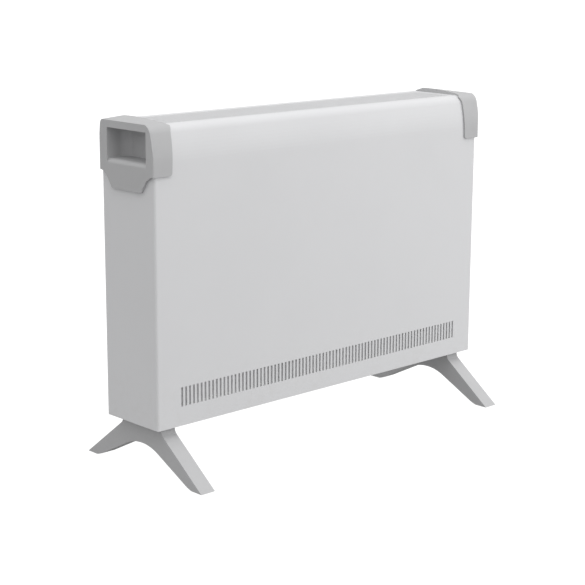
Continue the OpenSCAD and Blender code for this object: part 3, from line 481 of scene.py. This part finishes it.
CAD_WELD = 0.002 * MM
WELD = 0.001 * MM
FLAT_ANGLE = math.radians(0.3)
ROUNDED_ANGLE = math.radians(32)
ROUNDED_SEGMENTS = 3
CONTACT_GAP = 0.4
CASE_END = 296
CASE_FRONT = -51
CASE_BACK = 51
CASE_TOP = 449
LEAN_START = 401.2
LEAN_RADIUS = 150
ROLL_RADIUS = 13
ROLL_PLACE = -33.5
ROLL_HEIGHT = 436


def piece(name, shape, finish, body, replaced=(), sharp=35):
    """A finished piece from a bmesh, smooth except along edges sharper than that angle."""
    bmesh.ops.triangulate(shape, faces=[f for f in shape.faces if len(f.verts) > 4])
    limit = math.radians(sharp)
    for edge in shape.edges:
        edge.smooth = not (edge.is_manifold and edge.calc_face_angle(0) > limit)
    for face in shape.faces:
        face.smooth = True
    mesh = bpy.data.meshes.new(name)
    shape.to_mesh(mesh)
    shape.free()
    mesh.materials.append(finish)
    made = bpy.data.objects.new(name, mesh)
    bpy.context.scene.collection.objects.link(made)
    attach(made, body)
    if replaced:
        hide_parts(*replaced)
    return made


def merged_copy(node):
    """A bmesh of a CAD node with its loose triangles joined and its flats cleared."""
    shape = bmesh.new()
    shape.from_mesh(NODES[node].data)
    bmesh.ops.remove_doubles(shape, verts=shape.verts, dist=CAD_WELD)
    bmesh.ops.dissolve_limit(
        shape, angle_limit=FLAT_ANGLE, verts=shape.verts, edges=shape.edges,
    )
    return shape


def case_front(height):
    """Where the front of the case is at a height: upright, leaning back, rolling over."""
    if height > ROLL_HEIGHT:
        return ROLL_PLACE - math.sqrt(max(ROLL_RADIUS ** 2 - (height - ROLL_HEIGHT) ** 2, 0))
    return CASE_FRONT + max(height - LEAN_START, 0) ** 2 / (2 * LEAN_RADIUS)


def clear_of_case(spot):
    """Whether a spot on a cap stands proud of the case that the cap wraps."""
    x, y, z = spot / MM
    past_end = abs(x) > CASE_END + CONTACT_GAP
    past_back = y > CASE_BACK + CONTACT_GAP
    past_top = z > CASE_TOP + CONTACT_GAP
    return past_end or past_back or past_top or y < case_front(z) - CONTACT_GAP


def softened(node, name, width, allowed=None):
    """A moulded piece: a CAD node with its sharp edges rounded over, where allowed."""
    shape = merged_copy(node)
    edges = [e for e in shape.edges if e.is_manifold and e.calc_face_angle(0) > ROUNDED_ANGLE]
    if allowed:
        edges = [e for e in edges if all(allowed(v.co) for v in e.verts)]
    bmesh.ops.bevel(
        shape, geom=edges, offset=width, offset_type="OFFSET", segments=ROUNDED_SEGMENTS,
        profile=0.5, affect="EDGES", material=-1, clamp_overlap=True, loop_slide=True,
    )
    slot = SLOT_OF_NODE[node]
    made = piece(name, shape, FINISHES[slot], BODY_OF_NODE[node], [node])
    weigh = made.modifiers.new("even_shading", "WEIGHTED_NORMAL")
    weigh.keep_sharp = True
    return made


def joined(parts):
    """One bmesh of many, each moved to its own place."""
    whole = bmesh.new()
    for shape, place in parts:
        mesh = bpy.data.meshes.new("part")
        shape.to_mesh(mesh)
        first = len(whole.verts)
        whole.from_mesh(mesh)
        whole.verts.ensure_lookup_table()
        bmesh.ops.transform(whole, matrix=place, verts=whole.verts[first:])
        bpy.data.meshes.remove(mesh)
    return whole


def at(x, y, z, turn=Matrix()):
    """A place in millimetres, after a turn."""
    return Matrix.Translation((x * MM, y * MM, z * MM)) @ turn


DISC_SIDES = 24
PRINT_DEPTH = 0.06


def flat_disc(radius, thickness):
    """A thin disc that lies on z = 0."""
    disc = bmesh.new()
    bmesh.ops.create_circle(disc, cap_ends=True, segments=DISC_SIDES, radius=radius * MM)
    bmesh.ops.solidify(disc, geom=disc.faces, thickness=-thickness * MM)
    bmesh.ops.recalc_face_normals(disc, faces=disc.faces)
    return disc


def rounded_block(width, depth, height, edge, segments=3):
    """A block on z = 0 with rounded edges."""
    block = bmesh.new()
    bmesh.ops.create_cube(block, size=MM)
    bmesh.ops.scale(block, vec=(width, depth, height), verts=block.verts)
    bmesh.ops.translate(block, vec=(0, 0, height * MM / 2), verts=block.verts)
    bmesh.ops.bevel(
        block, geom=block.edges, offset=edge * MM, segments=segments,
        profile=0.5, affect="EDGES", material=-1,
    )
    return block


def lathe(profile, steps=24):
    """A turned form about Z, from pairs of radius and height in millimetres."""
    form = bmesh.new()
    corners = [form.verts.new((radius * MM, 0, height * MM)) for radius, height in profile]
    edges = [form.edges.new(pair) for pair in zip(corners, corners[1:])]
    bmesh.ops.spin(
        form, geom=corners + edges, cent=(0, 0, 0), axis=(0, 0, 1),
        angle=2 * math.pi, steps=steps, use_merge=True,
    )
    bmesh.ops.remove_doubles(form, verts=form.verts, dist=WELD)
    bmesh.ops.recalc_face_normals(form, faces=form.faces)
    return form


def lettering(text, height):
    """A numeral that lies flat, centred, facing up."""
    curve = bpy.data.curves.new("numeral", "FONT")
    curve.body = text
    curve.size = height * MM
    curve.align_x = "CENTER"
    curve.align_y = "CENTER"
    curve.extrude = PRINT_DEPTH / 2 * MM
    curve.resolution_u = 3
    holder = bpy.data.objects.new("numeral", curve)
    mesh = bpy.data.meshes.new_from_object(holder)
    numeral = bmesh.new()
    numeral.from_mesh(mesh)
    bmesh.ops.remove_doubles(numeral, verts=numeral.verts, dist=WELD)
    bpy.data.objects.remove(holder)
    bpy.data.curves.remove(curve)
    bpy.data.meshes.remove(mesh)
    return numeral


DOWNWARDS = Matrix.Rotation(math.pi, 4, "X")
BACKWARDS = Matrix.Rotation(-math.pi / 2, 4, "X")
FORWARDS = Matrix.Rotation(math.pi / 2, 4, "X")
RIGHTWARDS = Matrix(((0, 0, 1, 0), (1, 0, 0, 0), (0, 1, 0, 0), (0, 0, 0, 1)))


def dress_cad_nodes():
    """Every CAD node gets the finish of its slot, and the motor iron its own."""
    for node, cad in NODES.items():
        slot = SLOT_OF_NODE[node]
        cad.data.materials.clear()
        cad.data.materials.append(LAMINATIONS if node in MOTOR_IRON else FINISHES[slot])


dress_cad_nodes()

# ---------- Caps, feet and other mouldings ----------

ROUNDED_MOULDINGS = {
    "left_end_cap": ("left_cap", 1.1),
    "right_end_cap": ("right_cap", 1.1),
    "left_foot": ("left_foot_moulding", 1.3),
    "right_foot": ("right_foot_moulding", 1.3),
    "control_well": ("well_wall", 0.5),
    "control_plate": ("switch_plate", 0.25),
    "low_heat_switch": ("low_heat_switch_case", 0.45),
    "high_heat_switch": ("high_heat_switch_case", 0.45),
    "fan_switch": ("fan_switch_case", 0.45),
    "low_heat_rocker": ("low_heat_paddle", 0.4),
    "high_heat_rocker": ("high_heat_paddle", 0.4),
    "fan_rocker": ("fan_paddle", 0.4),
    "thermostat_body": ("thermostat_case", 0.7),
    "thermal_cutout": ("cutout_case", 0.7),
    "terminal_block": ("terminal_moulding", 0.5),
    "cable_gland": ("gland_collar", 0.6),
    "gland_nut": ("gland_ring_nut", 0.5),
    "bulkhead_grommet": ("rubber_grommet", 0.6),
    "fan_housing": ("fan_duct", 0.4),
    "fan_impeller": ("impeller", 0.3),
    "motor_coil": ("coil_winding", 1.6),
    "thermostat_nut": ("thermostat_ring_nut", 0.4),
    "foot_nuts": ("foot_hex_nuts", 0.4),
    "motor_bushes": ("bearing_bushes", 0.3),
    "motor_spacers": ("motor_sleeves", 0.2),
}

for cad_node, (moulding, edge_radius) in ROUNDED_MOULDINGS.items():
    clear = clear_of_case if "end_cap" in cad_node else None
    softened(cad_node, moulding, edge_radius * MM, allowed=clear)

# ---------- Foot pads ----------

FOOT_X = 271
SOLE_Y = 105.8
PAD_WIDTH = 16
PAD_LENGTH = 15
PAD_THICKNESS = 2
PAD_TREADS = 5
HALF_GROOVE = 0.6
GROOVE_DEPTH = 0.5
GROOVE_TAPER = 0.15
LEAST_SOLE_AREA = 8


def length_along_y(face):
    """How far a face reaches from front to back."""
    places = [vert.co.y for vert in face.verts]
    return max(places) - min(places)


def sole_pad():
    """A rubber pad with shallow cross grooves in its sole."""
    pad = rounded_block(PAD_WIDTH, PAD_LENGTH, PAD_THICKNESS, 0.5, segments=2)
    pitch = PAD_LENGTH * MM / PAD_TREADS
    for step in range(1, PAD_TREADS):
        for side in (-HALF_GROOVE, HALF_GROOVE):
            cut = Vector((0, (step - PAD_TREADS / 2) * pitch + side * MM, 0))
            whole = pad.verts[:] + pad.edges[:] + pad.faces[:]
            bmesh.ops.bisect_plane(pad, geom=whole, plane_co=cut, plane_no=(0, 1, 0))
    faces_down = [f for f in pad.faces if f.normal.z < -0.9]
    sole = [f for f in faces_down if f.calc_area() > LEAST_SOLE_AREA * MM * MM]
    grooves = [f for f in sole if length_along_y(f) < (2 * HALF_GROOVE + 0.1) * MM]
    bmesh.ops.inset_individual(
        pad, faces=grooves, thickness=GROOVE_TAPER * MM, depth=-GROOVE_DEPTH * MM,
    )
    return pad


PAD_PLACES = [at(x, y, 0) for x in (-FOOT_X, FOOT_X) for y in (-SOLE_Y, SOLE_Y)]
pads = joined([(sole_pad(), place) for place in PAD_PLACES])
piece("sole_pads", pads, FINISHES["rubber"], HOUSING, ["foot_pads"])

# ---------- Screws ----------


SOCKET_SHARE = 0.26
SOCKET_DEPTH = 0.6
SOCKET_TAPER = 0.55


def cross_screw(head, height, shank, length):
    """A pan-headed screw whose head stands on z = 0, with a cross recess."""
    socket = head * SOCKET_SHARE
    screw = lathe([
        (0, -length), (shank * 0.34, -length), (shank / 2, -length + shank * 0.4), (shank / 2, 0),
        (head / 2, 0), (head / 2, height * 0.42), (head * 0.455, height * 0.72),
        (head * 0.38, height * 0.9), (head * 0.3, height),
    ])
    rim = [e for e in screw.edges if e.is_boundary]
    level = Matrix.Translation((0, 0, height * MM))
    grid = bmesh.ops.create_grid(screw, x_segments=3, y_segments=3, size=socket * MM, matrix=level)
    faces = list({f for v in grid["verts"] for f in v.link_faces})
    limit = socket * MM * 0.5
    corners = [f for f in faces if min(abs(side) for side in f.calc_center_median().xy) > limit]
    cross = [f for f in faces if f not in corners]
    bmesh.ops.delete(screw, geom=corners, context="FACES")
    mouth = [e for f in cross for e in f.edges if e.is_boundary]
    bmesh.ops.bridge_loops(screw, edges=rim + list(set(mouth)))
    sunk = bmesh.ops.extrude_face_region(screw, geom=cross)["geom"]
    floor = [v for v in sunk if isinstance(v, bmesh.types.BMVert)]
    bmesh.ops.scale(screw, vec=(SOCKET_TAPER, SOCKET_TAPER, 1), verts=floor)
    bmesh.ops.translate(screw, vec=(0, 0, -height * SOCKET_DEPTH * MM), verts=floor)
    bmesh.ops.recalc_face_normals(screw, faces=screw.faces)
    return screw


def screws(name, node, size, turn, places):
    """Screws of one size, each standing at its own place, instead of a CAD node's."""
    slot = SLOT_OF_NODE[node]
    model = cross_screw(*size)
    whole = joined([(model, at(*place, turn)) for place in places])
    piece(name, whole, FINISHES[slot], BODY_OF_NODE[node], [node], sharp=30)


def mirrored(x, y):
    """Four places in a rectangle about the middle."""
    return [(x * i, y * j) for i in (-1, 1) for j in (-1, 1)]


CAP_BACK = 53.6
BASE_UNDERSIDE = 69.5
FOOT_LEDGE = 57.5
MOTOR_TOP = 144.5
FAN_X = -25
FAN_SCREW_REACH = 30.76
MOTOR_SCREW_REACH = 14
BACK_SCREWS = (
    [(x, z) for x in (-200, 0, 200) for z in (76.5, 442)]
    + [(x, z) for x in (-289, 289) for z in (159.5, 309.5)]
)
screws("back_screws", "back_panel_screws", (7, 2, 3.5, 8), BACKWARDS,
       [(x, CASE_BACK, z) for x, z in BACK_SCREWS])
screws("cap_fixings", "cap_screws", (7, 2, 3.5, 10.6), BACKWARDS,
       [(x, CAP_BACK, 399) for x in (-280, 280)])
screws("bottom_screws", "base_screws", (7, 1.2, 3.5, 8), DOWNWARDS,
       [(x, y, BASE_UNDERSIDE) for x, y in mirrored(287, 30)])
screws("foot_fixings", "foot_screws", (8, 2.6, 4, 18.2), DOWNWARDS,
       [(x, y, FOOT_LEDGE) for x, y in mirrored(FOOT_X, 24)])
screws("fan_fixings", "fan_screws", (7, 2, 3.5, 12), DOWNWARDS,
       [(FAN_X + x, y, BASE_UNDERSIDE) for x, y in mirrored(FAN_SCREW_REACH, FAN_SCREW_REACH)])
screws("motor_fixings", "motor_screws", (6, 2.4, 3, 39), Matrix(),
       [(FAN_X + x, 0, MOTOR_TOP) for x in (-MOTOR_SCREW_REACH, MOTOR_SCREW_REACH)])
screws("earth_stud", "earth_screw", (8, 3, 4, 4), DOWNWARDS, [(222, -20, BASE_UNDERSIDE)])

# ---------- Woven mesh behind the front slots ----------

WIRE_PITCH = 1.6
WIRE_WIDTH = 0.8
WIRE_THICKNESS = 0.14
WEAVE_RISE = 0.2
MESH_MIDDLE = (0, -49.6, 107)
MESH_LENGTH = 526.8
MESH_HEIGHT = 35
RIM_WIDTH = 4
RIM_THICKNESS = 0.7
WARP_COUNT = 328
WEFT_COUNT = 18


def woven_wire_strip(crossings, phase):
    """A flat wire along X that passes over and under its neighbours in turn."""
    strip = bmesh.new()
    bmesh.ops.create_grid(strip, x_segments=crossings, y_segments=1, size=0.5)
    bmesh.ops.scale(strip, vec=(crossings * WIRE_PITCH * MM, WIRE_WIDTH * MM, 1), verts=strip.verts)
    for vert in strip.verts:
        crossing = round(vert.co.x / (WIRE_PITCH * MM) + crossings / 2)
        vert.co.z = WEAVE_RISE * MM * (-1) ** (crossing + phase)
    return strip


def woven_wires(crossings, count, side, turn):
    """Parallel wires, centred, each a pitch from the next."""
    strips = [woven_wire_strip(crossings, phase) for phase in (side, side + 1)]
    places = [at(0, (i - count / 2) * WIRE_PITCH, 0) for i in range(count + 1)]
    wires = joined([(strips[i % 2], place) for i, place in enumerate(places)])
    bmesh.ops.solidify(wires, geom=wires.faces, thickness=WIRE_THICKNESS * MM)
    bmesh.ops.transform(wires, matrix=at(*MESH_MIDDLE, FORWARDS @ turn), verts=wires.verts)
    return wires


def mesh_border():
    """A flat rim that holds the ends of the wires."""
    border = bmesh.new()
    bmesh.ops.create_grid(border, x_segments=1, y_segments=1, size=0.5)
    bmesh.ops.scale(border, vec=(MESH_LENGTH * MM, MESH_HEIGHT * MM, 1), verts=border.verts)
    middle = border.faces[:]
    bmesh.ops.inset_region(
        border, faces=middle, thickness=RIM_WIDTH * MM, use_boundary=True, use_even_offset=True,
    )
    bmesh.ops.delete(border, geom=middle, context="FACES")
    bmesh.ops.solidify(border, geom=border.faces, thickness=RIM_THICKNESS * MM)
    bmesh.ops.translate(border, vec=(0, 0, RIM_THICKNESS / 2 * MM), verts=border.verts)
    bmesh.ops.recalc_face_normals(border, faces=border.faces)
    bmesh.ops.transform(border, matrix=at(*MESH_MIDDLE, FORWARDS), verts=border.verts)
    return border


QUARTER_TURN = Matrix.Rotation(math.pi / 2, 4, "Z")
piece("mesh_weft", woven_wires(WARP_COUNT, WEFT_COUNT, 0, Matrix()),
      FINISHES["dark_mesh"], HOUSING, ["intake_mesh"], sharp=60)
piece("mesh_warp", woven_wires(WEFT_COUNT, WARP_COUNT, 1, QUARTER_TURN),
      FINISHES["dark_mesh"], HOUSING, sharp=60)
piece("mesh_rim", mesh_border(), FINISHES["dark_mesh"], HOUSING)

# ---------- Controls in the right end ----------

PLATE_FACE = 280
KNOB_HEIGHT = 312.5
SWITCH_HEIGHTS = {"low_heat": 262.5, "high_heat": 229.5, "fan": 196.5}
KNOB_SIDES = 120
KNOB_BACK = 283.4
SKIRT_EDGE = 20.9
FLUTE_SHARE = 0.978
DIAL_STEPS = 7
DIAL_TURN = 45
STROKE_RADIUS = 22.1
NUMERAL_RADIUS = 24.7
NUMERAL_SIZE = 3.2
HEAT_MARK_SIZE = 6
HEAT_MARK_Y = 15
FAN_MARK_Y = 15.5
PADDLE_PIVOT = 280.4
PADDLE_REST = math.radians(-11)
PADDLE_LEAN = math.radians(17.1)
PADDLE_FACE = 3.05
PADDLE_MARK = 4.6
PADDLE_PRINT = 0.12


def fluted_knob():
    """A stepped dial with a fluted skirt and a rounded grip bar across it."""
    dial = lathe([
        (0, 9.6), (3.03, 9.6), (3.03, 0), (20.2, 0), (21, 0.8), (21, 3.2), (20.3, 4),
        (18.5, 4.3), (18, 4.9), (17.5, 11.1), (16.6, 12.1), (0, 12.1),
    ], steps=KNOB_SIDES)
    for vert in dial.verts:
        side = round(math.atan2(vert.co.y, vert.co.x) * KNOB_SIDES / (2 * math.pi))
        if vert.co.xy.length > SKIRT_EDGE * MM and side % 4 >= 2:
            vert.co.xy *= FLUTE_SHARE
    grip = rounded_block(8, 34, 9.4, 1.5)
    return joined([(dial, Matrix()), (grip, at(0, 0, 4.2))])


def pointer_mark():
    """A line let into the top of the grip bar."""
    return rounded_block(1.1, 8, 0.3, 0.1, segments=1)


def dial_marks():
    """Seven strokes with numerals, spread over the turn of the knob."""
    parts = []
    for step in range(DIAL_STEPS):
        angle = math.radians(DIAL_TURN * step)
        turned = Matrix.Rotation(-angle, 4, "Z")
        stroke = rounded_block(0.5, 1.3, PRINT_DEPTH, 0.02, segments=1)
        parts.append((stroke, turned @ at(0, STROKE_RADIUS, 0)))
        x = NUMERAL_RADIUS * math.sin(angle)
        y = NUMERAL_RADIUS * math.cos(angle)
        parts.append((lettering(str(step), NUMERAL_SIZE), at(x, y, PRINT_DEPTH / 2)))
    place = at(PLATE_FACE, 0, KNOB_HEIGHT, RIGHTWARDS)
    return joined([(shape, place @ spot) for shape, spot in parts])


def switch_marks():
    """Heat numbers beside two switches and a small fan wheel beside the third."""
    parts = []
    for text, switch in (("1", "low_heat"), ("2", "high_heat")):
        spot = at(PLATE_FACE + PRINT_DEPTH / 2, HEAT_MARK_Y, SWITCH_HEIGHTS[switch], RIGHTWARDS)
        parts.append((lettering(text, HEAT_MARK_SIZE), spot))
    hub = at(PLATE_FACE, FAN_MARK_Y, SWITCH_HEIGHTS["fan"], RIGHTWARDS)
    for third in range(3):
        petal = flat_disc(1.3, PRINT_DEPTH)
        bmesh.ops.scale(petal, vec=(0.7, 1.3, 1), verts=petal.verts)
        turned = Matrix.Rotation(third * 2 * math.pi / 3, 4, "Z")
        parts.append((petal, hub @ turned @ at(0, 2.3, 0)))
    parts.append((flat_disc(0.6, PRINT_DEPTH), hub))
    return joined(parts)


def paddle_mark(height, upper):
    """A ring on the off side of a paddle, or a stroke on its on side."""
    side = 1 if upper else -1
    rest = Matrix.Rotation(PADDLE_REST, 4, "Y")
    lean = Matrix.Rotation(PADDLE_LEAN * side, 4, "Y")
    on_face = at(PADDLE_FACE, 0, PADDLE_MARK * side)
    place = at(PADDLE_PIVOT, 0, height) @ rest @ on_face @ lean @ RIGHTWARDS
    if not upper:
        return rounded_block(0.6, 3, PADDLE_PRINT, 0.04, segments=1), place
    ring = flat_disc(1.5, PADDLE_PRINT)
    lid = [f for f in ring.faces if abs(f.normal.z) > 0.9]
    bmesh.ops.inset_region(ring, faces=lid, thickness=0.5 * MM)
    bmesh.ops.bridge_loops(ring, edges=[e for f in lid for e in f.edges])
    bmesh.ops.delete(ring, geom=lid, context="FACES_ONLY")
    return ring, place


knob_place = at(KNOB_BACK, 0, KNOB_HEIGHT, RIGHTWARDS)
piece("knob", joined([(fluted_knob(), knob_place)]), FINISHES["dark_plastic"],
      "thermostat_dial", ["thermostat_knob"])
piece("knob_pointer", joined([(pointer_mark(), knob_place @ at(0, 11.5, 13.32))]), WHITE_INK,
      "thermostat_dial")
piece("dial_scale", dial_marks(), DARK_INK, HOUSING)
piece("switch_symbols", switch_marks(), DARK_INK, HOUSING)
for switch, height in SWITCH_HEIGHTS.items():
    marks = joined([paddle_mark(height, upper) for upper in (True, False)])
    body = BODY_OF_NODE[switch + "_rocker"]
    piece(switch + "_paddle_marks", marks, WHITE_INK, body)
